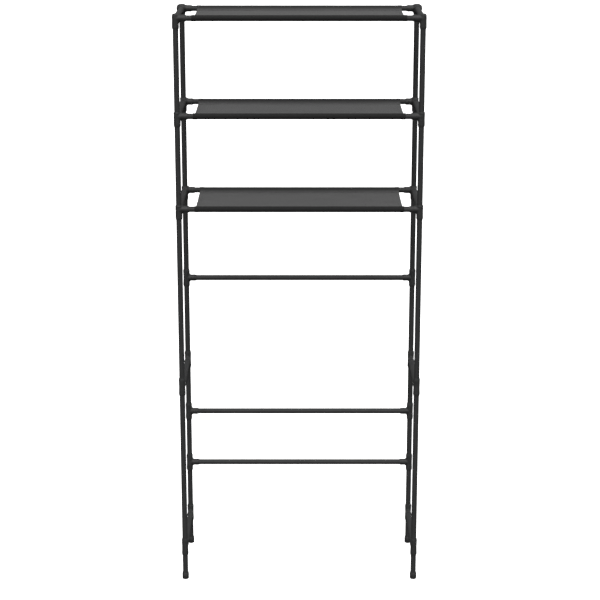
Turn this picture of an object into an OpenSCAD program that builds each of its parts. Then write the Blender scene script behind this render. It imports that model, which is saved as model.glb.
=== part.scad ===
// Free-standing storage rack that straddles a toilet or a washing machine.
// Steel tubes push into moulded sockets, and three cloth shelves hang on pairs of rails.
// The origin is on the floor at the middle of the rack, +X to the right, +Y to the wall, +Z up.

/* [Frame] */
// Distance between the left and right post axes
post_spacing_x = 690; // [500:5:900]
// Distance between the front and rear post axes
post_spacing_y = 275; // [180:5:400]
// Height of the lower shelf's rail axes above the floor
lower_shelf_z = 1145; // [950:1:1400]
// Rise from the lower shelf's rails to the middle shelf's rails
middle_rise = 268; // [120:1:400]
// Rise from the middle shelf's rails to the top shelf's rails
top_rise = 275; // [120:1:400]
// Height of the low side tubes
side_low_z = 104; // [70:1:180]
// Height of the waist side tubes
side_waist_z = 611; // [540:1:760]
// Height of the low rear bar
bar_low_z = 273; // [250:1:350]
// Height of the middle rear bar
bar_middle_z = 442; // [420:1:500]
// Height of the high rear bar
bar_high_z = 872; // [830:1:880]

/* [Tubes] */
// Outside diameter of every tube
tube_d = 16; // [12:0.5:22]
// Wall of every tube
tube_wall = 0.8; // [0.6:0.1:2]

/* [Connectors] */
// Radial clearance of a tube in its socket
socket_gap = 0.1; // [0.05:0.05:0.4]
// Wall of a socket on a post
sleeve_wall = 1.9; // [1.4:0.1:4]
// Wall of a socket on a rail or side tube
arm_wall = 1.7; // [1.2:0.1:4]
// Depth of a socket at a shelf joint, and of every socket on a rail or side tube
socket_depth = 20; // [12:1:40]
// Depth of a tee's two sockets on the post
tee_socket_depth = 25; // [12:1:30]
// Wall between the two tube ends inside a tee
tee_stop = 4; // [2:0.5:8]
// Wall between a socket's floor and the post's bore
hub_wall = 1.9; // [1.2:0.1:5]
// Length of the taper at a socket's mouth
mouth_taper = 5; // [2:0.5:8]
// Wall left at a socket's mouth
mouth_wall = 0.8; // [0.5:0.1:1.2]
// Height of a top corner's closed crown above the rail axis
crown_h = 12; // [12:0.5:20]
// Rounding at the top of a crown
crown_round = 4; // [1:0.5:5]
// Depth of the collar around the foot of the tube that stands on a shelf joint
collar_h = 2; // [1:0.5:6]
// Length of the spigot inside the tube that stands on a shelf joint
spigot_l = 25; // [10:1:40]
// Radial clearance of a spigot in its tube
spigot_gap = 0.1; // [0.05:0.05:0.4]
// Radius of the webs between the sockets of a corner or shelf joint
web_r = 9; // [4:0.5:12]
// Radius of the webs of a tee
tee_web_r = 6; // [3:0.5:10]
// Thickness of a web
web_t = 9; // [4:0.5:12]
// Reach of a rear top corner's rounded heel beyond the post axis
heel_l = 15; // [13:0.5:25]
// Rounding at the end of a heel
heel_round = 5; // [1:0.5:6]

/* [Feet] */
// Height of a foot cap
foot_h = 21; // [14:1:40]
// Floor of a foot cap under the tube
foot_floor = 4; // [2:0.5:8]
// Rounding around the sole of a foot cap
foot_round = 3; // [1:0.5:4]

/* [Shelves] */
// Width of the cloth
cloth_w = 600; // [400:1:620]
// Thickness of the cloth
cloth_t = 0.8; // [0.5:0.1:2]
// Radial clearance of a cloth sleeve around its rail
cloth_gap = 0.25; // [0.1:0.05:1]
// Depth of the cloth's upper face below the rail axes
cloth_drop = 5.5; // [2:0.5:7]
// Distance from a rail's axis to the seam that closes the sleeve
seam_l = 12.5; // [11.5:0.5:20]

/* [Hidden] */
$fn = 64;
eps = 0.01;
past = 1;                             // a cut runs this far past the face it opens
flat_sink = 0.15;                     // a sleeve's flats start this far under its round

LEFT = -1;
RIGHT = 1;
FRONT = -1;
REAR = 1;

tube_r = tube_d / 2;
bore_r = tube_r + socket_gap;
sleeve_r = bore_r + sleeve_wall;      // a socket on a post, outside
arm_r = bore_r + arm_wall;            // a socket on a rail or side tube, outside
hub_r = bore_r + hub_wall;            // from a post axis to a socket's floor
arm_l = hub_r + socket_depth;         // from a post axis to a socket's mouth
tee_half = tee_stop / 2 + tee_socket_depth;
spigot_r = tube_r - tube_wall - spigot_gap;
mouth_r = bore_r + mouth_wall;
web_sink = 0.8;                       // the webs end this far under the sockets' skins
lead_in = 0.5;                        // chamfer around a socket's mouth

middle_shelf_z = lower_shelf_z + middle_rise;
top_shelf_z = middle_shelf_z + top_rise;

// Each level is [name, height of its tube axes].
SHELVES = [["lower", lower_shelf_z], ["middle", middle_shelf_z], ["top", top_shelf_z]];
PASSED_SHELVES = [SHELVES[0], SHELVES[1]];
SIDES = [["low", side_low_z], ["waist", side_waist_z]];
BARS = [["low", bar_low_z], ["middle", bar_middle_z], ["high", bar_high_z]];
ROWS = [["front", FRONT], ["rear", REAR]];
HANDS = [["left", LEFT], ["right", RIGHT]];

// What joins each post, from the floor up, as [height, depth of the tube's seat in it].
tee_seat = tee_stop / 2;
SHELF_JOINTS = [for (s = SHELVES) [s[1], hub_r]];
FRONT_JOINTS = concat([[side_low_z, tee_seat], [side_waist_z, tee_seat]], SHELF_JOINTS);
REAR_JOINTS = concat(
    [[side_low_z, tee_seat], [bar_low_z, tee_seat], [bar_middle_z, tee_seat]],
    [[side_waist_z, tee_seat], [bar_high_z, tee_seat]],
    SHELF_JOINTS);

function joints(row) = row == FRONT ? FRONT_JOINTS : REAR_JOINTS;
function tube_foot(row, i) =
    i == 0 ? foot_floor : joints(row)[i - 1][0] + joints(row)[i - 1][1];
function tube_head(row, i) = joints(row)[i][0] - joints(row)[i][1];

PAINT = [0.20, 0.20, 0.205];
PLASTIC = [0.17, 0.17, 0.175];
CLOTH = [0.31, 0.31, 0.32];

// ---- Placing ----

// Drawn for the front left post: +X runs inwards along a rail, +Y inwards along a side tube.
module at_post(hand, row, z) {
    translate([hand * post_spacing_x / 2, row * post_spacing_y / 2, z])
        mirror([hand == RIGHT ? 1 : 0, 0, 0])
            mirror([0, row == REAR ? 1 : 0, 0])
                children();
}

module along_x() rotate([0, 90, 0]) children();
module along_y() rotate([-90, 0, 0]) children();
module downwards() mirror([0, 0, 1]) children();

// ---- Tubes ----

module tube(l) {
    difference() {
        cylinder(r = tube_r, h = l);
        translate([0, 0, -past]) cylinder(r = tube_r - tube_wall, h = l + 2 * past);
    }
}

// A tube across the rack, from one post's socket to the other's
module cross_tube(row, z) {
    l = post_spacing_x - 2 * hub_r;
    color(PAINT) translate([-l / 2, row * post_spacing_y / 2, z]) along_x() tube(l);
}

// The left and right tubes from the front posts to the rear posts
module side_tubes(z) {
    l = post_spacing_y - 2 * hub_r;
    color(PAINT)
        for (h = HANDS)
            translate([h[1] * post_spacing_x / 2, -l / 2, z]) along_y() tube(l);
}

// The left and right lengths of post between one joint and the next
module post_tubes(row, i) {
    foot = tube_foot(row, i);
    color(PAINT)
        for (h = HANDS)
            translate([h[1] * post_spacing_x / 2, row * post_spacing_y / 2, foot])
                tube(tube_head(row, i) - foot);
}

// ---- Pieces of a connector, all along +Z from the hub's centre ----

// The outside of a socket, with a tapered mouth
module socket_skin(r, l) {
    cylinder(r = r, h = l - mouth_taper);
    translate([0, 0, l - mouth_taper]) cylinder(r1 = r, r2 = mouth_r, h = mouth_taper);
}

// The bore of a socket, from its floor out through its mouth
module socket_bore(floor_z, l) {
    translate([0, 0, floor_z]) cylinder(r = bore_r, h = l - floor_z + past);
    translate([0, 0, l - lead_in]) cylinder(r1 = bore_r, r2 = bore_r + 2 * lead_in, h = 2 * lead_in);
}

// A closed end with a rounded edge
module round_end(r, l, edge_r) {
    rotate_extrude()
        intersection() {
            square([r, l]);
            union() {
                square([r, l - edge_r]);
                square([r - edge_r, l]);
                translate([r - edge_r, l - edge_r]) circle(r = edge_r);
            }
        }
}

// A web in the corner between +X and +Y, hollowed to a radius
module web(fillet_r) {
    reach = arm_r - web_sink + fillet_r;
    translate([0, 0, -web_t / 2])
        linear_extrude(web_t)
            difference() {
                square(reach);
                translate([reach, reach]) circle(r = fillet_r);
            }
}

// The same web between +X and -Z, and between +Y and -Z
module web_under_x(fillet_r) rotate([-90, 0, 0]) web(fillet_r);
module web_under_y(fillet_r) rotate([0, 90, 0]) web(fillet_r);
module web_over_x(fillet_r) mirror([0, 0, 1]) web_under_x(fillet_r);

// ---- Connectors ----

// Three sockets that meet at a top corner, under a closed crown
module corner(with_heel) {
    difference() {
        union() {
            downwards() socket_skin(sleeve_r, arm_l);
            round_end(sleeve_r, crown_h, crown_round);
            along_x() socket_skin(arm_r, arm_l);
            along_y() socket_skin(arm_r, arm_l);
            if (with_heel) mirror([1, 0, 0]) along_x() round_end(arm_r, heel_l, heel_round);
            web(web_r);
            web_under_x(web_r);
            web_under_y(web_r);
        }
        downwards() socket_bore(hub_r, arm_l);
        along_x() socket_bore(hub_r, arm_l);
        along_y() socket_bore(hub_r, arm_l);
    }
}

// A shelf joint that the post passes: a socket below, a collar and a spigot above
module shelf_joint() {
    difference() {
        union() {
            downwards() socket_skin(sleeve_r, arm_l);
            cylinder(r = sleeve_r, h = hub_r);
            translate([0, 0, hub_r]) cylinder(r1 = sleeve_r, r2 = mouth_r, h = collar_h);
            along_x() socket_skin(arm_r, arm_l);
            along_y() socket_skin(arm_r, arm_l);
            web(web_r);
            web_under_x(web_r);
            web_under_y(web_r);
        }
        downwards() socket_bore(hub_r, arm_l);
        translate([0, 0, hub_r]) cylinder(r = bore_r, h = collar_h + past);
        along_x() socket_bore(hub_r, arm_l);
        along_y() socket_bore(hub_r, arm_l);
    }
    translate([0, 0, hub_r - eps]) cylinder(r = spigot_r, h = spigot_l + eps);
}

// A tee on a post, with its third socket along +X
module tee() {
    difference() {
        union() {
            socket_skin(sleeve_r, tee_half);
            downwards() socket_skin(sleeve_r, tee_half);
            along_x() socket_skin(arm_r, arm_l);
            web_under_x(tee_web_r);
            web_over_x(tee_web_r);
        }
        socket_bore(tee_seat, tee_half);
        downwards() socket_bore(tee_seat, tee_half);
        along_x() socket_bore(hub_r, arm_l);
    }
}

module corner_connector(hand, row) {
    color(PLASTIC) at_post(hand, row, top_shelf_z) corner(row == REAR);
}

module shelf_connector(hand, row, z) {
    color(PLASTIC) at_post(hand, row, z) shelf_joint();
}

// A tee for a side tube, turned to face along Y
module side_tee(hand, row, z) {
    color(PLASTIC) at_post(hand, row, z) rotate([0, 0, 90]) tee();
}

// A tee for a rear bar
module bar_tee(hand, z) {
    color(PLASTIC) at_post(hand, REAR, z) tee();
}

// ---- Feet and shelves ----

module foot_cap(hand, row) {
    color(PLASTIC) at_post(hand, row, 0)
        difference() {
            translate([0, 0, foot_h]) downwards() round_end(sleeve_r, foot_h, foot_round);
            translate([0, 0, foot_floor]) cylinder(r = bore_r, h = foot_h);
        }
}

// A round that runs out in two flats to the seam, drawn at each rail
module sleeve_outline(r) {
    seam_z = -cloth_drop - cloth_t / 2;
    seam_d = norm([seam_l, seam_z]);
    seam_at = atan2(seam_z, seam_l);
    spread = acos((tube_r + cloth_gap + cloth_t) / seam_d);
    for (row = [FRONT, REAR])
        translate([row * post_spacing_y / 2, 0])
            mirror([row == REAR ? 1 : 0, 0]) {
                circle(r = r);
                polygon([
                    [0, 0],
                    (r - flat_sink) * [cos(seam_at - spread), sin(seam_at - spread)],
                    r / cos(spread) * [cos(seam_at), sin(seam_at)],
                    (r - flat_sink) * [cos(seam_at + spread), sin(seam_at + spread)]]);
            }
}

// A cloth sleeve around each rail, and the panel stretched between their seams
module cloth_shelf(z) {
    color(CLOTH)
        translate([-cloth_w / 2, 0, z])
            rotate([90, 0, 90])
                linear_extrude(cloth_w)
                    difference() {
                        union() {
                            sleeve_outline(tube_r + cloth_gap + cloth_t);
                            translate([-post_spacing_y / 2, -cloth_drop - cloth_t])
                                square([post_spacing_y, cloth_t]);
                        }
                        sleeve_outline(tube_r + cloth_gap);
                    }
}

// ---- Nodes ----

for (s = SHELVES, r = ROWS)
    cross_tube(r[1], s[1]);

for (b = BARS)
    cross_tube(REAR, b[1]);

for (r = ROWS, i = [1:len(joints(r[1]))])
    post_tubes(r[1], i - 1);

for (s = concat(SHELVES, SIDES))
    side_tubes(s[1]);

for (r = ROWS, h = HANDS)
    corner_connector(h[1], r[1]);

for (s = PASSED_SHELVES, r = ROWS, h = HANDS)
    shelf_connector(h[1], r[1], s[1]);

for (s = SIDES, r = ROWS, h = HANDS)
    side_tee(h[1], r[1], s[1]);

for (b = BARS, h = HANDS)
    bar_tee(h[1], b[1]);

for (r = ROWS, h = HANDS)
    foot_cap(h[1], r[1]);

for (s = SHELVES)
    cloth_shelf(s[1]);
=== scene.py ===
"""Looks of the over the toilet storage rack: coated tubes, moulded connectors, sewn cloth shelves."""

import math

import bmesh
import bpy
import numpy as np
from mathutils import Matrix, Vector, geometry, noise
from mathutils.bvhtree import BVHTree


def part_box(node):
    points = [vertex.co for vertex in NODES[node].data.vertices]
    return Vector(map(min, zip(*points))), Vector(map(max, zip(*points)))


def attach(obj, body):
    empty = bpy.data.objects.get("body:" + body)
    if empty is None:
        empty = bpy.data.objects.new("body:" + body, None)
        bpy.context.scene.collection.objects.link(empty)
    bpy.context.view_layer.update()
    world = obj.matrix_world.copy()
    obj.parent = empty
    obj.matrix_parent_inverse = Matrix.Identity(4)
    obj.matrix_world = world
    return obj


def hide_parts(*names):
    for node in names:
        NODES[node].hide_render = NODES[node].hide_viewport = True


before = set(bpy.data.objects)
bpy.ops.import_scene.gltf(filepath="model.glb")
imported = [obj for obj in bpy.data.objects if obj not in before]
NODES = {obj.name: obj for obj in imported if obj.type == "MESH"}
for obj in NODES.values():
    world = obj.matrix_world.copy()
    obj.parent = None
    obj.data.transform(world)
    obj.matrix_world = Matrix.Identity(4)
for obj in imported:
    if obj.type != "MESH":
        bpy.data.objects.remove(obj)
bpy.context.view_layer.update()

MM = 0.001

# ---- Sizes, read from the frame ----


def measure(node):
    """Lowest and highest corner of a CAD node, in millimetres."""
    low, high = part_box(node)
    return np.array(low) / MM, np.array(high) / MM


post_low, post_high = measure("front_post_tubes_1")
rear_low, rear_high = measure("rear_post_tubes_1")
TUBE_R = (post_high[1] - post_low[1]) / 2
POST_X = post_high[0] - TUBE_R
POST_Y = rear_high[1] - TUBE_R


def middle_height(node):
    low, high = measure(node)
    return (low[2] + high[2]) / 2


SHELVES = {name: middle_height("rail_front_" + name) for name in ("lower", "middle", "top")}
SIDES = {name: middle_height("side_tubes_" + name) for name in ("low", "waist")}
BARS = {name: middle_height("rear_bar_" + name) for name in ("low", "middle", "high")}
ROWS = {"front": -1, "rear": 1}
HANDS = {"left": -1, "right": 1}

corner_low, corner_high = measure("corner_front_right")
heel_high = measure("corner_rear_right")[1]
tee_low, tee_high = measure("bar_tee_low_left")
joint_high = measure("shelf_joint_lower_front_left")[1]
foot_high = measure("foot_front_left")[1]
cloth_high = measure("cloth_top")[1]

SLEEVE_R = corner_high[0] - POST_X              # a socket on a post, outside
ARM_L = POST_X - corner_low[0]                  # from a post axis to a socket's mouth
CROWN_H = corner_high[2] - SHELVES["top"]       # the closed top of a corner
HEEL_L = heel_high[0] - POST_X                  # the rounded heel of a rear corner
TEE_HALF = (tee_high[2] - tee_low[2]) / 2       # from a tee's middle to a socket's mouth
SPIGOT_TOP = joint_high[2] - SHELVES["lower"]   # the spigot inside the next tube
RAIL_END = POST_X - measure("rail_front_top")[1][0]   # from a post axis to a rail's end
SOCKET_GAP = 0.1        # radial clearance of a tube in its socket, and of a spigot in its tube
BORE_R = TUBE_R + SOCKET_GAP
BORE_SLACK = 0.15       # a rebuilt bore is this much wider and deeper, so its facets clear the tube
ARM_SLIMMER = 0.2       # a socket on a rail has this much less wall than one on a post
ARM_R = SLEEVE_R - ARM_SLIMMER
COLLAR_H = 2
COLLAR_TOP = RAIL_END + COLLAR_H
TUBE_WALL = 0.8

CLOTH_HALF = cloth_high[0]                      # half the cloth's width
CLOTH_T = 0.45                                  # a guess, thinner than the CAD stand-in
CLOTH_GAP = 0.12                                # radial clearance of a sleeve around its rail


# ---- Materials ----


class Nodes:
    """A short way to write a material's node tree."""

    def __init__(self, name):
        self.material = bpy.data.materials.new(name)
        self.material.use_nodes = True
        self.tree = self.material.node_tree
        self.shader = self.tree.nodes["Principled BSDF"]

    def node(self, kind, settings=None, **inputs):
        made = self.tree.nodes.new("ShaderNode" + kind)
        for name, value in (settings or {}).items():
            setattr(made, name, value)
        for name, value in inputs.items():
            self.feed(made.inputs[name.replace("_", " ")], value)
        return made

    def feed(self, socket, value):
        if isinstance(value, bpy.types.NodeSocket):
            self.tree.links.new(value, socket)
        else:
            socket.default_value = value

    def noise(self, where, scale, detail=2.0, rough=0.5, stretch=None, turn=0.0):
        if stretch or turn:
            mapping = self.node("Mapping", Vector=where)
            mapping.inputs["Rotation"].default_value[2] = turn
            mapping.inputs["Scale"].default_value = stretch or (1, 1, 1)
            where = mapping.outputs["Vector"]
        made = self.node("TexNoise", Vector=where, Scale=scale, Detail=detail, Roughness=rough)
        return made.outputs["Fac"]

    def span(self, value, low, high, to_low, to_high):
        made = self.node("MapRange", Value=value)
        made.inputs["From Min"].default_value = low
        made.inputs["From Max"].default_value = high
        made.inputs["To Min"].default_value = to_low
        made.inputs["To Max"].default_value = to_high
        return made.outputs["Result"]

    def sum(self, a, b, kind="ADD"):
        made = self.node("Math", {"operation": kind})
        self.feed(made.inputs[0], a)
        self.feed(made.inputs[1], b)
        return made.outputs["Value"]

    def mix(self, share, a, b):
        made = self.node("Mix", {"data_type": "RGBA"})
        self.feed(made.inputs["Factor"], share)
        self.feed(made.inputs["A"], a)
        self.feed(made.inputs["B"], b)
        return made.outputs["Result"]

    def bump(self, height, depth, strength=1.0, under=None):
        made = self.node("Bump", Strength=strength, Distance=depth, Height=height)
        if under is not None:
            self.feed(made.inputs["Normal"], under)
        return made.outputs["Normal"]

    def attribute(self, name):
        return self.node("Attribute", {"attribute_name": name})

    def place(self):
        return self.node("TexCoord").outputs["Object"]

    def finish(self, colour, rough, normal, **uniform):
        self.feed(self.shader.inputs["Base Color"], colour)
        self.feed(self.shader.inputs["Roughness"], rough)
        self.feed(self.shader.inputs["Normal"], normal)
        for name, value in uniform.items():
            self.shader.inputs[name.replace("_", " ")].default_value = value
        return self.material


def grey(value, warmth=0.0):
    return (value * (1 + warmth), value, value * (1 - warmth), 1)


def tube_paint():
    """Satin powder coat on steel: a fine orange peel, a little mottling, faint rub marks."""
    n = Nodes("tube_paint")
    where = n.place()
    cloud = n.noise(where, 35, 3)
    peel = n.noise(where, 900, 2)
    speck = n.noise(where, 4200, 1)
    rub = n.span(n.noise(where, 60, 5, 0.65, stretch=(1, 1, 0.25)), 0.56, 0.74, 0, 1)
    colour = n.mix(n.span(cloud, 0.35, 0.65, 0, 1), grey(0.031, -0.01), grey(0.037, -0.01))
    colour = n.mix(n.span(speck, 0.55, 0.75, 0, 0.4), colour, grey(0.042))
    colour = n.mix(n.sum(rub, 0.2, "MULTIPLY"), colour, grey(0.055))
    rough = n.sum(n.span(peel, 0.3, 0.7, 0.52, 0.64), n.sum(rub, 0.08, "MULTIPLY"))
    normal = n.bump(peel, 0.00012, 0.5, under=n.bump(speck, 0.00004, 0.4))
    return n.finish(colour, rough, normal, Specular_IOR_Level=0.16)


def connector_plastic():
    """Moulded polypropylene: eroded-mould grain, flow mottling, and a painted highlight, paler and
    rougher, along sharp outer edges.
    """
    n = Nodes("connector_plastic")
    where = n.place()
    flow = n.noise(where, 90, 4, 0.6)
    grain = n.noise(where, 2600, 2)
    edge = n.attribute("edge").outputs["Fac"]
    edge_highlight = n.sum(edge, n.span(n.noise(where, 400, 4), 0.4, 0.6, 0.3, 1), "MULTIPLY")
    colour = n.mix(n.span(flow, 0.35, 0.65, 0, 1), grey(0.027, -0.01), grey(0.036, -0.01))
    # painted highlight: sharp outer edges are made paler and rougher
    colour = n.mix(edge_highlight, colour, grey(0.075))
    rough = n.sum(n.span(flow, 0.3, 0.7, 0.46, 0.58), n.sum(edge_highlight, 0.1, "MULTIPLY"))
    normal = n.bump(grain, 0.00006, 0.6)
    return n.finish(colour, rough, normal, Specular_IOR_Level=0.22)


def shelf_cloth():
    """Bonded polypropylene cloth: pressed dots in a diamond grid, tangled fibres, cloudy density, and
    painted shade on the sleeves round the rails.
    """
    n = Nodes("shelf_cloth")
    cut = n.attribute("cut").outputs["Vector"]
    dots_per_m = 480
    turned = n.node("Mapping", Vector=cut)
    turned.inputs["Rotation"].default_value[2] = math.radians(45)
    turned.inputs["Scale"].default_value = (dots_per_m, dots_per_m, 0)
    cells = n.node(
        "TexVoronoi",
        {"voronoi_dimensions": "2D", "feature": "F1", "distance": "EUCLIDEAN"},
        Vector=turned.outputs["Vector"],
        Scale=1.0,
        Randomness=0.12,
    )
    dot = n.span(cells.outputs["Distance"], 0.18, 0.34, 1, 0)
    fibres = [
        n.noise(cut, 1500, 3, 0.6, stretch=(1, 0.12, 1), turn=math.radians(angle))
        for angle in (12, 68, 131)
    ]
    fibre = n.sum(n.sum(fibres[0], fibres[1], "MAXIMUM"), fibres[2], "MAXIMUM")
    cloud = n.noise(cut, 130, 4, 0.6)
    wide = n.noise(cut, 14, 3)
    rail_painted_shade = n.attribute("rail_painted_shade").outputs["Fac"]
    colour = n.mix(n.span(cloud, 0.35, 0.65, 0, 1), grey(0.054), grey(0.062))
    colour = n.mix(n.span(fibre, 0.5, 0.75, 0, 0.45), colour, grey(0.095))
    colour = n.mix(n.sum(dot, 0.35, "MULTIPLY"), colour, grey(0.045))
    colour = n.mix(n.span(wide, 0.35, 0.65, 0, 0.12), colour, grey(0.08))
    # painted shade: the sleeves round the rails are darkened nearly to black, partly also the dark tube
    # showing through the thin cloth
    colour = n.mix(rail_painted_shade, colour, grey(0.0115))
    rough = n.span(dot, 0, 1, 0.86, 0.62)
    height = n.sum(n.sum(fibre, 0.5, "MULTIPLY"), dot, "SUBTRACT")
    normal = n.bump(height, 0.00016, 0.7)
    return n.finish(colour, rough, normal, Specular_IOR_Level=0.2, Sheen_Weight=0.08, Sheen_Roughness=0.5)


def thread():
    """Twisted sewing thread, a shade darker than the cloth."""
    n = Nodes("sewing_thread")
    where = n.place()
    twist = n.noise(where, 5200, 2, stretch=(0.4, 1, 1), turn=math.radians(35))
    colour = n.mix(n.span(twist, 0.35, 0.65, 0, 1), grey(0.035), grey(0.085))
    return n.finish(colour, n.span(twist, 0.3, 0.7, 0.5, 0.75), n.bump(twist, 0.00008, 0.8))


MATERIALS = {
    "tube_paint": tube_paint(),
    "connector_plastic": connector_plastic(),
    "shelf_cloth": shelf_cloth(),
    "thread": thread(),
}


# ---- Meshes ----


def object_from(name, points, faces, material):
    """A mesh object in the row frame; points are in millimetres."""
    mesh = bpy.data.meshes.new(name)
    mesh.from_pydata((np.asarray(points, float) * MM).tolist(), [], faces)
    mesh.validate()
    made = bpy.data.objects.new(name, mesh)
    bpy.context.scene.collection.objects.link(made)
    mesh.materials.append(material)
    mesh.shade_smooth()
    return made


def arc(centre, radius, start, end, steps):
    """Points on an arc, angles in degrees."""
    angles = np.radians(np.linspace(start, end, steps))
    return [(centre[0] + radius * math.cos(a), centre[1] + radius * math.sin(a)) for a in angles]


def surface_net(field, low, high, step):
    """Points and quads of the surface where field(points) is zero, on a grid of that step."""
    axes = [np.arange(l, h + step, step) for l, h in zip(low, high)]
    grid = np.stack(np.meshgrid(*axes, indexing="ij"), -1)
    value = field(grid.reshape(-1, 3)).reshape(grid.shape[:3])
    inside = value < 0
    cells = tuple(n - 1 for n in inside.shape)
    total = np.zeros(cells + (3,))
    count = np.zeros(cells)
    crossings = []
    for axis in range(3):
        near = [slice(None)] * 3
        far = [slice(None)] * 3
        near[axis], far[axis] = slice(0, -1), slice(1, None)
        a, b = value[tuple(near)], value[tuple(far)]
        crossed = inside[tuple(near)] != inside[tuple(far)]
        share = np.where(crossed, a / np.where(crossed, a - b, 1), 0)
        point = grid[tuple(near)].copy()
        point[..., axis] += share * step
        crossings.append((crossed, inside[tuple(near)]))
        others = [k for k in range(3) if k != axis]
        for i in (0, 1):
            for j in (0, 1):
                part = [slice(None)] * 3
                part[others[0]] = slice(i, i + cells[others[0]])
                part[others[1]] = slice(j, j + cells[others[1]])
                hit = crossed[tuple(part)]
                total += np.where(hit[..., None], point[tuple(part)], 0)
                count += hit
    used = count > 0
    index = np.full(cells, -1)
    index[used] = np.arange(used.sum())
    points = total[used] / count[used][:, None]
    faces = []
    for axis, (crossed, starts_inside) in enumerate(crossings):
        b, c = (axis + 1) % 3, (axis + 2) % 3
        at = np.argwhere(crossed)
        at = at[(at[:, b] > 0) & (at[:, c] > 0) & (at[:, b] < cells[b]) & (at[:, c] < cells[c])]
        steps = [(0, 0), (-1, 0), (-1, -1), (0, -1)]
        ring = []
        for i, j in steps:
            cell = at.copy()
            cell[:, b] += i
            cell[:, c] += j
            ring.append(index[tuple(cell.T)])
        ring = np.stack(ring, 1)
        outward = starts_inside[tuple(at.T)]
        faces.append(np.where(outward[:, None], ring, ring[:, ::-1]))
    return points, np.concatenate(faces)


def slope(field, points, width=0.02):
    """The field's gradient."""
    out = np.empty_like(points)
    for k in range(3):
        aside = np.zeros(3)
        aside[k] = width
        out[:, k] = (field(points + aside) - field(points - aside)) / (2 * width)
    return out


def settled(field, points, rounds=3):
    """The points moved onto the surface."""
    for _ in range(rounds):
        g = slope(field, points)
        points = points - g * (field(points) / np.maximum((g * g).sum(1), 0.05))[:, None]
    return points


# ---- Moulded shapes, as signed distances in millimetres ----


def outline_distance(q, h, outline):
    """Signed distance to a closed outline in the half plane (radius, height)."""
    best = np.full(q.shape, np.inf)
    odd = np.zeros(q.shape, bool)
    ends = outline[1:] + outline[:1]
    for (ax, ay), (bx, by) in zip(outline, ends):
        ex, ey = bx - ax, by - ay
        t = np.clip(((q - ax) * ex + (h - ay) * ey) / (ex * ex + ey * ey), 0, 1)
        best = np.minimum(best, (q - ax - t * ex) ** 2 + (h - ay - t * ey) ** 2)
        if ey:
            passes = (ay > h) != (by > h)
            odd ^= passes & (q < ax + (h - ay) / ey * ex)
    return np.where(odd, -1, 1) * np.sqrt(best)


def turned(points, axis, sign, outline):
    """Distance to an outline turned about the +axis or -axis direction from the hub's centre."""
    along = points[:, axis] * sign
    across = np.sqrt(np.maximum((points**2).sum(1) - along**2, 0))
    return outline_distance(across, along, outline)


def merged(a, b, radius, alike=0.0):
    """The union, with its inner corners filled to about that radius, less where the walls face alike."""
    radius = radius * (1 - alike) + LEAST_R
    h = np.maximum(radius - np.abs(a - b), 0) / radius
    return np.minimum(a, b) - h * h * radius / 4


def alike(points, i, j):
    """1 where rounds about two axes face the same way, 0 where they face square to each other."""
    squares = points**2
    whole = squares.sum(1)
    shared = whole - squares[:, i] - squares[:, j]
    return shared / np.sqrt(np.maximum((whole - squares[:, i]) * (whole - squares[:, j]), 1e-9))


def cut(a, b, radius):
    """a without b, with its edges rounded."""
    return -merged(-a, b, radius)


EDGE = 0.35            # rounding of an outer edge
RIM_ROUND = 0.3        # rounding of a bore's rim
LEAST_R = 0.01         # keeps a fill's radius above zero
AXIS = -0.01           # an outline closes this far past the axis it is turned about
HUB_SINK = 2.0         # a hidden back end starts this far behind the hub's centre
PAST = 1               # a cut runs this far past the face it opens
MOUTH_TAPER = 5
MOUTH_WALL = 0.8
DRAFT = 0.7            # a socket is this much slimmer at its root
FILL_R = 10.5
SOFTEN = 3.0           # rounds the creases where two fills meet
TEE_FILL_R = 7.0
TEE_STOP = 2.0         # half the wall between the two tube ends inside a tee
CROWN_ROUND = 4
HEEL_ROUND = 5
SPIGOT_ROUND = 0.8
COLLAR_CUT = 2         # the cut for the next tube runs this far past the collar


def socket(radius, length, back):
    """A socket's outside: its back end, then a run slimmer at its root, then a tapered mouth."""
    return back + [
        (radius - EDGE, length - MOUTH_TAPER - EDGE),
        (BORE_R + MOUTH_WALL - EDGE, length - EDGE),
        (AXIS, length - EDGE),
    ]


def hidden_back(radius):
    """A back end that stays inside the hub."""
    return [(AXIS, -HUB_SINK), (radius - DRAFT - EDGE, -HUB_SINK)]


def round_back(radius, reach, edge):
    """A closed back end with a rounded edge."""
    slim = radius - DRAFT
    turn = arc((slim - edge, edge - reach), edge - EDGE, -90, 0, 7)
    return [(AXIS, turn[0][1])] + turn + [(slim - EDGE, 0)]


def collar_back():
    """The back end as a collar around the foot of the next tube."""
    return [
        (AXIS, EDGE - COLLAR_TOP),
        (BORE_R + MOUTH_WALL - EDGE, EDGE - COLLAR_TOP),
        (SLEEVE_R - EDGE, -RAIL_END),
        (SLEEVE_R - DRAFT - EDGE, 0),
    ]


def bore(floor, length):
    """The hole of a socket, from its floor out through its mouth."""
    loose = BORE_R + BORE_SLACK
    floor = floor - BORE_SLACK
    return [(AXIS, floor), (loose, floor), (loose, length + PAST), (AXIS, length + PAST)]


def capped(radius, top, edge):
    """A closed end with a rounded edge."""
    side = radius - edge
    return [(AXIS, -HUB_SINK), (side, -HUB_SINK), (side, top - edge), (AXIS, top - edge)]


X, Y, Z = 0, 1, 2


def three_way(points, post_back, arm_back):
    """Sockets along -Z, +X and +Y, filled where they meet."""
    post = turned(points, Z, -1, socket(SLEEVE_R, ARM_L, post_back)) - EDGE
    rail = turned(points, X, 1, socket(ARM_R, ARM_L, arm_back)) - EDGE
    side = turned(points, Y, 1, socket(ARM_R, ARM_L, hidden_back(ARM_R))) - EDGE
    post_rail = merged(post, rail, FILL_R, alike(points, Z, X))
    post_side = merged(post, side, FILL_R, alike(points, Z, Y))
    rail_side = merged(rail, side, FILL_R, alike(points, X, Y))
    # Two of the three are the same surface nearly everywhere, which merged moves out by SOFTEN / 4.
    return merged(merged(post_rail, post_side, SOFTEN), rail_side, SOFTEN) + SOFTEN / 4


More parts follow.
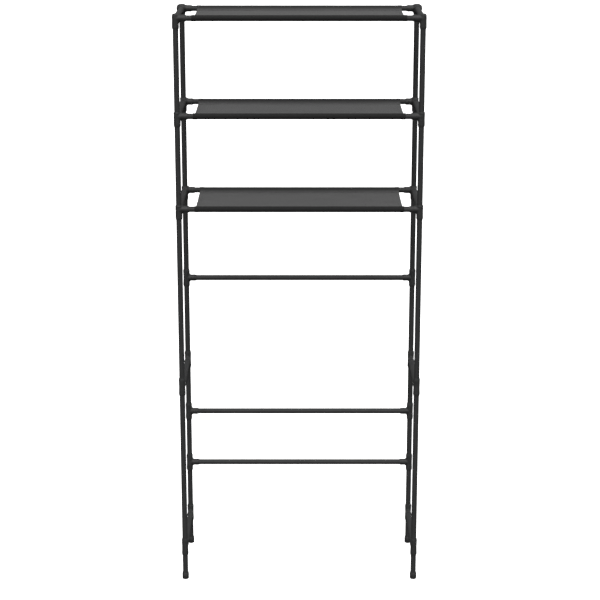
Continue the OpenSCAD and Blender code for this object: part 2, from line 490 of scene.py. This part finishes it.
def bored(points, out, axes):
    """The shape with a bore along each (axis, sign, floor, length)."""
    for axis, sign, floor, length in axes:
        out = cut(out, turned(points, axis, sign, bore(floor, length)), RIM_ROUND)
    return out


THREE_BORES = ((Z, -1, RAIL_END, ARM_L), (X, 1, RAIL_END, ARM_L), (Y, 1, RAIL_END, ARM_L))
SEAT = (Z, 1, RAIL_END, COLLAR_TOP + COLLAR_CUT)      # where the next tube stands


def corner(points):
    """A front top corner: three sockets under a closed crown."""
    crown = round_back(SLEEVE_R, CROWN_H, CROWN_ROUND)
    return bored(points, three_way(points, crown, hidden_back(ARM_R)), THREE_BORES)


def heeled_corner(points):
    """A rear top corner, with a rounded heel behind the rail's socket."""
    crown = round_back(SLEEVE_R, CROWN_H, CROWN_ROUND)
    heel = round_back(ARM_R, HEEL_L, HEEL_ROUND)
    return bored(points, three_way(points, crown, heel), THREE_BORES)


def shelf_joint(points):
    """A joint the post passes: three sockets, and a collar and a spigot for the next tube."""
    out = three_way(points, collar_back(), hidden_back(ARM_R))
    out = bored(points, out, THREE_BORES + (SEAT,))
    spigot_r = TUBE_R - TUBE_WALL - SOCKET_GAP - BORE_SLACK
    spigot = capped(spigot_r, SPIGOT_TOP, SPIGOT_ROUND)
    return np.minimum(out, turned(points, Z, 1, spigot) - SPIGOT_ROUND)


def tee(points):
    """A tee: two sockets on the post and one along +X."""
    arm = turned(points, X, 1, socket(ARM_R, ARM_L, hidden_back(ARM_R))) - EDGE
    post = socket(SLEEVE_R, TEE_HALF, hidden_back(SLEEVE_R))
    stack = np.minimum(turned(points, Z, 1, post), turned(points, Z, -1, post)) - EDGE
    out = merged(stack, arm, TEE_FILL_R, alike(points, Z, X))
    return bored(
        points,
        out,
        ((Z, 1, TEE_STOP, TEE_HALF), (Z, -1, TEE_STOP, TEE_HALF), (X, 1, RAIL_END, ARM_L)),
    )


NET_STEP = 0.45        # grid of the net a moulding starts from
KEPT_SHARE = 0.14      # share of the net's triangles that is kept
HIGHLIGHT_W = 0.6        # an edge is judged over this distance to either side
HIGHLIGHT_FROM = 0.25    # how sharp an edge is before it gets the painted highlight
HIGHLIGHT_GAIN = 1.2


def moulded(field, low, high):
    """Mesh data of a moulded piece: a fine net, thinned, then settled on the true surface."""
    points, faces = surface_net(field, low, high, NET_STEP)
    points = settled(field, points)
    rough = object_from("moulding", points, faces.tolist(), MATERIALS["connector_plastic"])
    thin = rough.modifiers.new("thin", "DECIMATE")
    thin.ratio = KEPT_SHARE
    made = bpy.data.meshes.new_from_object(rough.evaluated_get(bpy.context.evaluated_depsgraph_get()))
    bpy.data.objects.remove(rough)
    co = np.zeros(len(made.vertices) * 3)
    made.vertices.foreach_get("co", co)
    co = settled(field, co.reshape(-1, 3) / MM, 2)
    normals = slope(field, co)
    normals /= np.linalg.norm(normals, axis=1)[:, None]
    wide = HIGHLIGHT_W
    bend = (field(co + normals * wide) + field(co - normals * wide)) / wide
    spread = sum(
        field(co + side * wide) + field(co - side * wide)
        for side in across(normals)
    ) / wide
    # edge: how much painted highlight a vertex gets, from how sharply the surface bends there
    edge = np.clip((spread - np.abs(bend) - HIGHLIGHT_FROM) * HIGHLIGHT_GAIN, 0, 1)
    made.calc_loop_triangles()
    triangles = np.zeros(len(made.loop_triangles) * 3, np.int32)
    made.loop_triangles.foreach_get("vertices", triangles)
    bpy.data.meshes.remove(made)
    return co, triangles.reshape(-1, 3), normals, edge


def across(normals):
    """Two directions square to each normal."""
    least = np.eye(3)[np.abs(normals).argmin(1)]
    u = np.cross(normals, least)
    u /= np.linalg.norm(u, axis=1)[:, None]
    return u, np.cross(normals, u)


def place_moulding(name, shape, hand, row, z, quarter=False):
    """Puts a copy of a moulded shape at a post, mirrored to face inwards, in place of its CAD node."""
    points, faces, normals, edge = shape
    points, normals = points.copy(), normals.copy()
    if quarter:
        points, normals = points[:, [1, 0, 2]], normals[:, [1, 0, 2]]
    flip = np.array([-hand, -row, 1])
    points, normals = points * flip, normals * flip
    if (hand * row < 0) != quarter:
        faces = faces[:, ::-1]
    points = points + np.array([hand * POST_X, row * POST_Y, z])
    made = object_from(name, points, faces.tolist(), MATERIALS["connector_plastic"])
    mesh = made.data
    mesh.normals_split_custom_set_from_vertices(normals.tolist())
    attribute = mesh.attributes.new("edge", "FLOAT", "POINT")
    attribute.data.foreach_set("value", edge.astype(np.float32))
    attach(made, "root")
    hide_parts(name.replace("moulded_", ""))


def make_connectors():
    room = 1.5
    low = np.array([-SLEEVE_R - room] * 2 + [-ARM_L - room])
    high = np.array([ARM_L + room] * 2 + [CROWN_H + room])
    shapes = {
        "front": moulded(corner, low, high),
        "rear": moulded(heeled_corner, low - [HEEL_L - SLEEVE_R, 0, 0], high),
    }
    passed = moulded(shelf_joint, low, high + [0, 0, SPIGOT_TOP - CROWN_H])
    tall = TEE_HALF + room
    tee_shape = moulded(
        tee, [-SLEEVE_R - room, -SLEEVE_R - room, -tall], [ARM_L + room, SLEEVE_R + room, tall]
    )
    for row, row_sign in ROWS.items():
        for hand, hand_sign in HANDS.items():
            end = f"{row}_{hand}"
            place = (hand_sign, row_sign)
            place_moulding("moulded_corner_" + end, shapes[row], *place, SHELVES["top"])
            for shelf in ("lower", "middle"):
                name = f"moulded_shelf_joint_{shelf}_{end}"
                place_moulding(name, passed, *place, SHELVES[shelf])
            for side, z in SIDES.items():
                place_moulding(f"moulded_side_tee_{side}_{end}", tee_shape, *place, z, quarter=True)
    for hand, hand_sign in HANDS.items():
        for bar, z in BARS.items():
            place_moulding(f"moulded_bar_tee_{bar}_{hand}", tee_shape, hand_sign, 1, z)


# ---- Feet ----


def make_feet():
    """Foot caps: a flared mouth, two grip rings and a rounded sole with a shallow dish."""
    height = foot_high[2]
    outer = SLEEVE_R
    profile = foot_profile(outer, height)
    turns = 64
    angles = np.arange(turns) * 2 * math.pi / turns
    ring = np.stack([np.cos(angles), np.sin(angles)], 1)
    points = [(0, 0, profile[0][1])]
    for r, z in profile[1:-1]:
        points += [(r * c, r * s, z) for c, s in ring]
    points.append((0, 0, profile[-1][1]))
    rings = len(profile) - 2
    faces = [(0, 1 + (i + 1) % turns, 1 + i) for i in range(turns)]
    for k in range(rings - 1):
        a, b = 1 + k * turns, 1 + (k + 1) * turns
        faces += [(a + i, a + (i + 1) % turns, b + (i + 1) % turns, b + i) for i in range(turns)]
    last = 1 + (rings - 1) * turns
    faces += [(last + i, last + (i + 1) % turns, len(points) - 1) for i in range(turns)]
    for row, row_sign in ROWS.items():
        for hand, hand_sign in HANDS.items():
            at = np.array([hand_sign * POST_X, row_sign * POST_Y, 0])
            name = f"foot_cap_{row}_{hand}"
            made = object_from(name, np.array(points) + at, faces, MATERIALS["connector_plastic"])
            made.data.set_sharp_from_angle(angle=math.radians(50))
            made.data.attributes.new("edge", "FLOAT", "POINT")
            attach(made, "root")
            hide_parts(f"foot_{row}_{hand}")


def foot_profile(outer, height):
    """(radius, height) from the middle of the sole, round the outside and down the bore."""
    sole_r = 3
    dish = 0.8
    grip_r = 0.6
    grip_depths = (10.5, 8)
    floor = measure("front_post_tubes_1")[0][2]
    profile = [(0, dish), (outer - sole_r - 1.5, dish), (outer - sole_r - 0.9, 0)]
    profile += arc((outer - sole_r, sole_r), sole_r, -90, 0, 8)
    for depth in grip_depths:
        profile += arc((outer - 0.5, height - depth), grip_r, -55, 55, 5)
    profile += arc((outer - 0.7, height - 5.3), 0.7, 0, 30, 3)
    loose = BORE_R + BORE_SLACK
    profile += arc((loose + 0.6, height - 0.5), 0.5, 30, 90, 4)
    profile += arc((loose + 0.5, height - 0.5), 0.5, 90, 180, 4)
    profile += [(loose, floor - BORE_SLACK), (0, floor - BORE_SLACK)]
    return profile


# ---- Cloth shelves ----

SEAM_Y = 12.5           # from a rail's axis to where the sleeve's two layers meet
SEAM_Z = -4.6           # height of that line from the rail's axis
FLAP_W = 9.0            # the sewn strip, where the sleeve's edge lies folded on the panel
HEM_W = 12.0            # the folded side hem
FOLD = 0.3              # rounding of a folded edge
LIP = 0.3               # the panel starts this far past the sewn strip's folded edge
REAR_PAINTED_SHADE = 0.86       # the rear sleeves get less painted shade than the front ones
SAG = 1.6               # the panel's middle hangs this much lower
SLACK = 1.1             # height of the panel's wide ripples
WRINKLE = 0.5           # height of its narrow ones
PUCKER = 0.38           # height of the puckers along the seams
CURL = 1.4              # the side edges droop this much
SLEEVE_RIPPLE = 0.12    # height of the small folds of a sleeve
FIRST_SEED = 11
STITCH_PITCH = 3.6
STITCH_L = 2.7
STITCH_R = 0.26


def tangent_angle(radius):
    """Where the two layers leave a circle around the rail for the seam, in radians."""
    distance = math.hypot(SEAM_Y, SEAM_Z)
    towards = math.atan2(SEAM_Z, SEAM_Y)
    half = math.acos(radius / distance)
    return towards + half, towards - half


def strip(a, b, steps):
    """Points from a up to, but not including, b."""
    return [tuple(np.array(a) + (np.array(b) - np.array(a)) * k / steps) for k in range(steps)]


def sleeve_section():
    """The rear half of the outer skin, as (y from the rail towards the front, z, hem share, free share).

    It runs from the panel's upper side, over the sewn strip and round the rail, to the panel's
    lower side. hem share is 1 where the side hem is folded on it; free share is 1 where it may sag.
    """
    outer = TUBE_R + CLOTH_GAP + CLOTH_T
    upper, lower = tangent_angle(outer)
    panel_top = SEAM_Z + CLOTH_T / 2
    flap_end = SEAM_Y + FLAP_W
    step = 2 * CLOTH_T
    rows = [(flap_end + LIP, panel_top, 0, 1)]
    fold = arc((flap_end - step / 2, panel_top + step / 2), step / 2, -60, 90, 5)
    rows += [(y, z, 1, 1) for y, z in fold]
    crest = (outer * math.cos(upper), outer * math.sin(upper))
    foot = (SEAM_Y + 1.2, panel_top + step)
    rows += [(y, z, 1, 0.5) for y, z in strip((flap_end - step, panel_top + step), foot, 3)]
    rows += [(y, z, 1, 0) for y, z in strip(foot, crest, 5)]
    round_rail = arc((0, 0), outer, math.degrees(upper), 360 + math.degrees(lower), 26)
    rows += [(y, z, 1, 0) for y, z in round_rail]
    return rows, outer, upper, lower


def cloth_rows():
    """Every row of the outer skin in order, as (y, z, hem share, free share, over rail); over rail also
    sets the painted shade.

    y counts from the rack's middle, z from the rail's axis.
    """
    section, outer, upper, lower = sleeve_section()
    inner_edge = SEAM_Y + FLAP_W + LIP
    half = POST_Y - inner_edge
    panel_top = SEAM_Z + CLOTH_T / 2
    panel_low = panel_top - CLOTH_T
    across_panel = 34
    rows = []
    ys = np.linspace(-half, half, across_panel + 1)
    rows += [(y, panel_top, 0, 1, 0) for y in ys[1:-1]]
    half_sleeve = [(POST_Y - y, z, hem, free, rail_shade_share(y)) for y, z, hem, free in section]
    # the rear sleeves get less painted shade than the front ones
    rows += [(y, z, hem, free, over * REAR_PAINTED_SHADE) for y, z, hem, free, over in half_sleeve]
    tail_start = (outer * math.cos(lower), outer * math.sin(lower))
    tail_end = (inner_edge, panel_low)
    levels_off = (SEAM_Y + 3, panel_low)
    tail = strip(tail_start, levels_off, 5)[1:]
    tail += strip(levels_off, tail_end, 4)
    rows += [(POST_Y - y, z, 1, free_share(y), rail_shade_share(y)) for y, z in tail]
    rows += [(y, panel_low, 1, 1, 0) for y in ys[::-1]]
    rows += [(y - POST_Y, z, 1, free_share(y), rail_shade_share(y)) for y, z in tail[::-1]]
    rows += [(-y, z, hem, free, over) for y, z, hem, free, over in half_sleeve[::-1]]
    return rows


def rail_shade_share(y):
    """How far the cloth is darkened, by distance from the rail: painted shade, partly also the dark tube
    showing through the thin cloth.
    """
    past_seam = 1
    fades_over = 6
    return float(np.clip((SEAM_Y + past_seam - y) / fades_over, 0, 1))


def free_share(y):
    """How free the cloth is to sag, by distance from the rail."""
    return float(np.clip((y - SEAM_Y) / FLAP_W, 0, 1))


def tunnel_rows(sign):
    """The inside of a sleeve around its rail, as (y, z)."""
    inner = TUBE_R + CLOTH_GAP
    upper, lower = tangent_angle(inner)
    round_rail = arc((0, 0), inner, math.degrees(upper), 360 + math.degrees(lower), 22)
    meet = (SEAM_Y - 1.0, SEAM_Z)
    rows = strip(round_rail[-1], meet, 4)[1:] + [meet] + strip(meet, round_rail[0], 4)[1:]
    return [(sign * (POST_Y - y), z) for y, z in round_rail + rows]


def columns():
    """Places across the width, closer together at the folded ends and at the hem's inner edge."""
    inner = CLOTH_HALF - HEM_W
    ends = [CLOTH_HALF - way for way in (0, FOLD * 0.3, FOLD, 3, 6, 9)]
    ends += [inner + 1, inner + 0.5, inner, inner - 0.6]
    middle = np.linspace(-(inner - 4), inner - 4, 148)
    return np.concatenate([-np.array(ends), middle, np.array(ends)[::-1]])


def waves(x, y, seed):
    """How far a free point of the panel stands off its flat place: sag, slack ripples, pucker at seams."""
    seam = POST_Y - SEAM_Y
    share = 1 - min(1, abs(y) / seam)
    edge_x = 1 - abs(x) / CLOTH_HALF
    hang = -SAG * (1 - (y / seam) ** 2) * (1 + 0.25 * noise.noise((x / 210, seed * 7.1, 0)))
    slack = SLACK * noise.noise((x / 95, y / 60, seed * 3.7)) * min(1, share * 3)
    slack += WRINKLE * noise.noise((x / 38, y / 45, seed * 5.3)) * min(1, share * 4)
    near_seam = math.exp(-((seam - abs(y)) / 16))
    pucker = PUCKER * near_seam * noise.noise((x / 7.5, y / 60, seed * 2.9))
    curl = -CURL * math.exp(-edge_x * CLOTH_HALF / 14) * share * (1 + noise.noise((y / 40, seed, x / 300)))
    return hang + slack + pucker + curl


def section_normals(rows):
    """Outward normals of a closed section."""
    p = np.array([r[:2] for r in rows], float)
    along = np.roll(p, -1, 0) - np.roll(p, 1, 0)
    along /= np.linalg.norm(along, axis=1)[:, None]
    return np.stack([-along[:, 1], along[:, 0]], 1)


def make_cloth(name, z, seed):
    """One shelf: an outer skin lofted across the width, and a tunnel around each rail."""
    rows = cloth_rows()
    normals = section_normals(rows)
    tunnels = [tunnel_rows(1), tunnel_rows(-1)[::-1]]
    xs = columns()
    noise.seed_set(seed + FIRST_SEED)
    points, cuts, painted_shades = [], [], []
    flat = np.array([r[:2] for r in rows])
    lengths = np.linalg.norm(np.roll(flat, -1, 0) - flat, axis=1)
    along = np.concatenate([[0], np.cumsum(lengths)[:-1]])
    hem_inner = CLOTH_HALF - HEM_W
    for x in xs:
        hem = float(np.clip((abs(x) - hem_inner) / 1.0, 0, 1)) * CLOTH_T
        inset = fold_inset(x)
        for (y, level, hem_share, free, over), (ny, nz), s in zip(rows, normals, along):
            out = hem * hem_share - inset
            lift = waves(x, y, seed) * free
            lift += sleeve_ripple(x, s, seed) * over
            points.append((x, y + ny * out, z + level + nz * out + lift))
            cuts.append((x, s, 0))
            painted_shades.append(over)
    skin = len(points)
    for t, tunnel in enumerate(tunnels):
        for x in xs:
            inset = fold_inset(x) * 0.5
            for y, level in tunnel:
                centre = (POST_Y if y > 0 else -POST_Y)
                grow = 1 + inset / (TUBE_R + CLOTH_GAP)
                points.append((x, centre + (y - centre) * grow, z + level * grow))
                cuts.append((x, y, 0))
                painted_shades.append(1)
    faces = loft(0, len(xs), len(rows))
    size = len(tunnels[0])
    starts = [skin, skin + len(xs) * size]
    for start in starts:
        faces += loft(start, len(xs), size, inward=True)
    faces += end_caps(points, len(xs), len(rows), starts, size)
    made = object_from(name, points, faces, MATERIALS["shelf_cloth"])
    mesh = made.data
    outward(mesh)
    mesh.set_sharp_from_angle(angle=math.radians(60))
    store(mesh, "cut", "FLOAT_VECTOR", np.array(cuts) * MM)
    store(mesh, "rail_painted_shade", "FLOAT", np.array(painted_shades))
    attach(made, "root")
    shelf = name.replace("shelf_", "")
    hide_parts("cloth_" + shelf)
    return made


def outward(mesh):
    """Turns every face of a closed mesh to face out."""
    work = bmesh.new()
    work.from_mesh(mesh)
    bmesh.ops.recalc_face_normals(work, faces=work.faces)
    work.to_mesh(mesh)
    work.free()


def sleeve_ripple(x, s, seed):
    """Small folds where the sleeve is drawn round its rail."""
    return SLEEVE_RIPPLE * noise.noise((x / 22, s / 14, seed * 4.1))


def fold_inset(x):
    """How far the skin is drawn in at the rounded edge of a side fold."""
    beyond = FOLD - (CLOTH_HALF - abs(x))
    return 0.0 if beyond <= 0 else FOLD - math.sqrt(max(FOLD**2 - beyond**2, 0))


def loft(start, count, size, inward=False):
    """Faces between one closed ring of points and the next."""
    faces = []
    for c in range(count - 1):
        a, b = start + c * size, start + (c + 1) * size
        for i in range(size):
            j = (i + 1) % size
            face = (a + i, a + j, b + j, b + i)
            faces.append(face[::-1] if inward else face)
    return faces


def end_caps(points, count, size, tunnel_starts, tunnel_size):
    """The two side edges of the cloth, around the openings of its sleeves."""
    faces = []
    for c in (0, count - 1):
        loops = [[c * size + i for i in range(size)]]
        loops += [[start + c * tunnel_size + i for i in range(tunnel_size)] for start in tunnel_starts]
        order = [k for loop in loops for k in loop]
        flat = [[Vector((points[k][1], points[k][2], 0)) for k in loop] for loop in loops]
        for triangle in geometry.tessellate_polygon(flat):
            faces.append(tuple(order[k] for k in triangle))
    return faces


def store(mesh, name, kind, values):
    attribute = mesh.attributes.new(name, kind, "POINT")
    key = "vector" if kind == "FLOAT_VECTOR" else "value"
    attribute.data.foreach_set(key, np.asarray(values, np.float32).ravel())


def stitch(centre, along, up):
    """One stitch: a short thread that dips into the cloth at both ends."""
    side = np.cross(up, along)
    sections = ((-0.5, -0.9, 0.45), (-0.32, 0.15, 1.0), (0.32, 0.15, 1.0), (0.5, -0.9, 0.45))
    corners = 6
    points = []
    for share, height, size in sections:
        middle = centre + along * share * STITCH_L + up * height * STITCH_R
        for k in range(corners):
            a = 2 * math.pi * k / corners
            points.append(middle + (side * math.cos(a) + up * math.sin(a)) * STITCH_R * size)
    faces = []
    for r in range(len(sections) - 1):
        a, b = r * corners, (r + 1) * corners
        faces += [(a + i, a + (i + 1) % corners, b + (i + 1) % corners, b + i) for i in range(corners)]
    faces.append(tuple(range(corners))[::-1])
    faces.append(tuple((len(sections) - 1) * corners + k for k in range(corners)))
    return points, faces


def make_stitching(name, cloth, z):
    """Rows of stitches along both sewn strips and both side hems, laid on the cloth's own surface."""
    tree = surface_of(cloth)
    points, faces = [], []

    def lay(x, y, along, side):
        start = Vector((x, y, z + SEAM_Z + side * 9)) * MM
        hit, normal, _, _ = tree.ray_cast(start, Vector((0, 0, -side)), 0.02)
        if hit is None:
            return
        up = np.array(normal)
        line = np.array(along, float)
        line -= up * (line @ up)
        line /= np.linalg.norm(line)
        new, new_faces = stitch(np.array(hit) / MM, line, up)
        base = len(points)
        points.extend(new)
        faces.extend(tuple(base + k for k in f) for f in new_faces)

    edge_in = 2.0
    seam_ys = [POST_Y - SEAM_Y - 2.6, POST_Y - SEAM_Y - FLAP_W + edge_in]
    count = int(2 * (CLOTH_HALF - 2) / STITCH_PITCH)
    for k in range(count):
        x = (k - (count - 1) / 2) * STITCH_PITCH
        for y in seam_ys:
            for sign in (-1, 1):
                for side in (1, -1):
                    lay(x, sign * y, (1, 0, 0), side)
    hem_x = CLOTH_HALF - HEM_W + edge_in
    reach = POST_Y - SEAM_Y - FLAP_W - 1.5
    count = int(2 * reach / STITCH_PITCH)
    for k in range(count):
        y = (k - (count - 1) / 2) * STITCH_PITCH
        for sign in (-1, 1):
            for side in (1, -1):
                lay(sign * hem_x, y, (0, 1, 0), side)
    made = object_from(name, points, faces, MATERIALS["thread"])
    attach(made, "root")
    return made


def surface_of(obj):
    return BVHTree.FromObject(obj, bpy.context.evaluated_depsgraph_get())


def make_shelves():
    """The three shelves, each with its rows of stitches."""
    for k, (shelf, z) in enumerate(SHELVES.items()):
        cloth = make_cloth("shelf_" + shelf, z, k + 1)
        stitches = make_stitching(f"shelf_{shelf}_stitching", cloth, z)


# ---- Stage ----


def add_softbox(name, azimuth, elevation, spread, strength, shadows=True):
    """A large, distant softbox; angles in degrees, azimuth from straight in front of the rack."""
    data = bpy.data.lights.new(name, "SUN")
    data.angle = math.radians(spread)
    data.energy = strength
    data.use_shadow = shadows
    light = bpy.data.objects.new(name, data)
    bpy.context.scene.collection.objects.link(light)
    light.rotation_euler = (math.radians(90 - elevation), 0, math.radians(azimuth))


def make_floor():
    """A pale, faintly glowing floor that melts into the white around it."""
    n = Nodes("studio_floor")
    cloud = n.noise(n.place(), 1.5, 2)
    colour = n.mix(cloud, grey(0.9), grey(0.93))
    n.finish(colour, 0.9, n.bump(cloud, 0.0001, 0.1))
    half = 30000
    corners = [(-half, -half, 0), (half, -half, 0), (half, half, 0), (-half, half, 0)]
    n.shader.inputs["Emission Color"].default_value = (1, 1, 1, 1)
    n.shader.inputs["Emission Strength"].default_value = 0.7
    floor = object_from("studio_floor", corners, [(0, 1, 2, 3)], n.material)
    floor.visible_diffuse = False
    floor.visible_glossy = False


CAMERA_AT = (0.002, -4.98, 2.195)       # metres
CAMERA_TILT = 15.24                     # degrees below level
LENS = 103.68


def make_camera():
    """The photograph's viewpoint, tilted down with no shift, so that other views stay centred."""
    data = bpy.data.cameras.new("camera")
    data.sensor_width = 36
    data.lens = LENS
    data.clip_end = 100
    camera = bpy.data.objects.new("camera", data)
    bpy.context.scene.collection.objects.link(camera)
    camera.location = CAMERA_AT
    camera.rotation_euler = (math.radians(90 - CAMERA_TILT), 0, 0)
    bpy.context.scene.camera = camera


def make_world(above, below, seen):
    """A soft studio: brighter above than below, and white where the camera sees past the floor."""
    world = bpy.data.worlds.new("studio")
    bpy.context.scene.world = world
    world.use_nodes = True
    tree = world.node_tree
    where = tree.nodes.new("ShaderNodeTexCoord")
    split = tree.nodes.new("ShaderNodeSeparateXYZ")
    tree.links.new(where.outputs["Generated"], split.inputs["Vector"])
    height = tree.nodes.new("ShaderNodeMapRange")
    height.interpolation_type = "SMOOTHSTEP"
    height.inputs["From Min"].default_value = -0.5
    height.inputs["From Max"].default_value = 0.9
    height.inputs["To Min"].default_value = below
    height.inputs["To Max"].default_value = above
    tree.links.new(split.outputs["Z"], height.inputs["Value"])
    path = tree.nodes.new("ShaderNodeLightPath")
    pick = tree.nodes.new("ShaderNodeMix")
    pick.inputs["B"].default_value = seen
    tree.links.new(path.outputs["Is Camera Ray"], pick.inputs["Factor"])
    tree.links.new(height.outputs["Result"], pick.inputs["A"])
    background = tree.nodes["Background"]
    background.inputs["Color"].default_value = (1, 1, 1, 1)
    tree.links.new(pick.outputs["Result"], background.inputs["Strength"])
    bpy.context.scene.view_settings.view_transform = "Standard"


make_camera()
make_connectors()
make_feet()
make_shelves()
for node_name, node in NODES.items():
    if not node.hide_render:
        node.data.materials.clear()
        node.data.materials.append(MATERIALS["tube_paint"])
make_world(above=0.45, below=0.13, seen=1.1)
make_floor()
add_softbox("key_softbox", azimuth=-8, elevation=38, spread=24, strength=1.6)
add_softbox("top_softbox", azimuth=5, elevation=70, spread=40, strength=1.7, shadows=False)
add_softbox("back_softbox", azimuth=115, elevation=14, spread=40, strength=0.45)
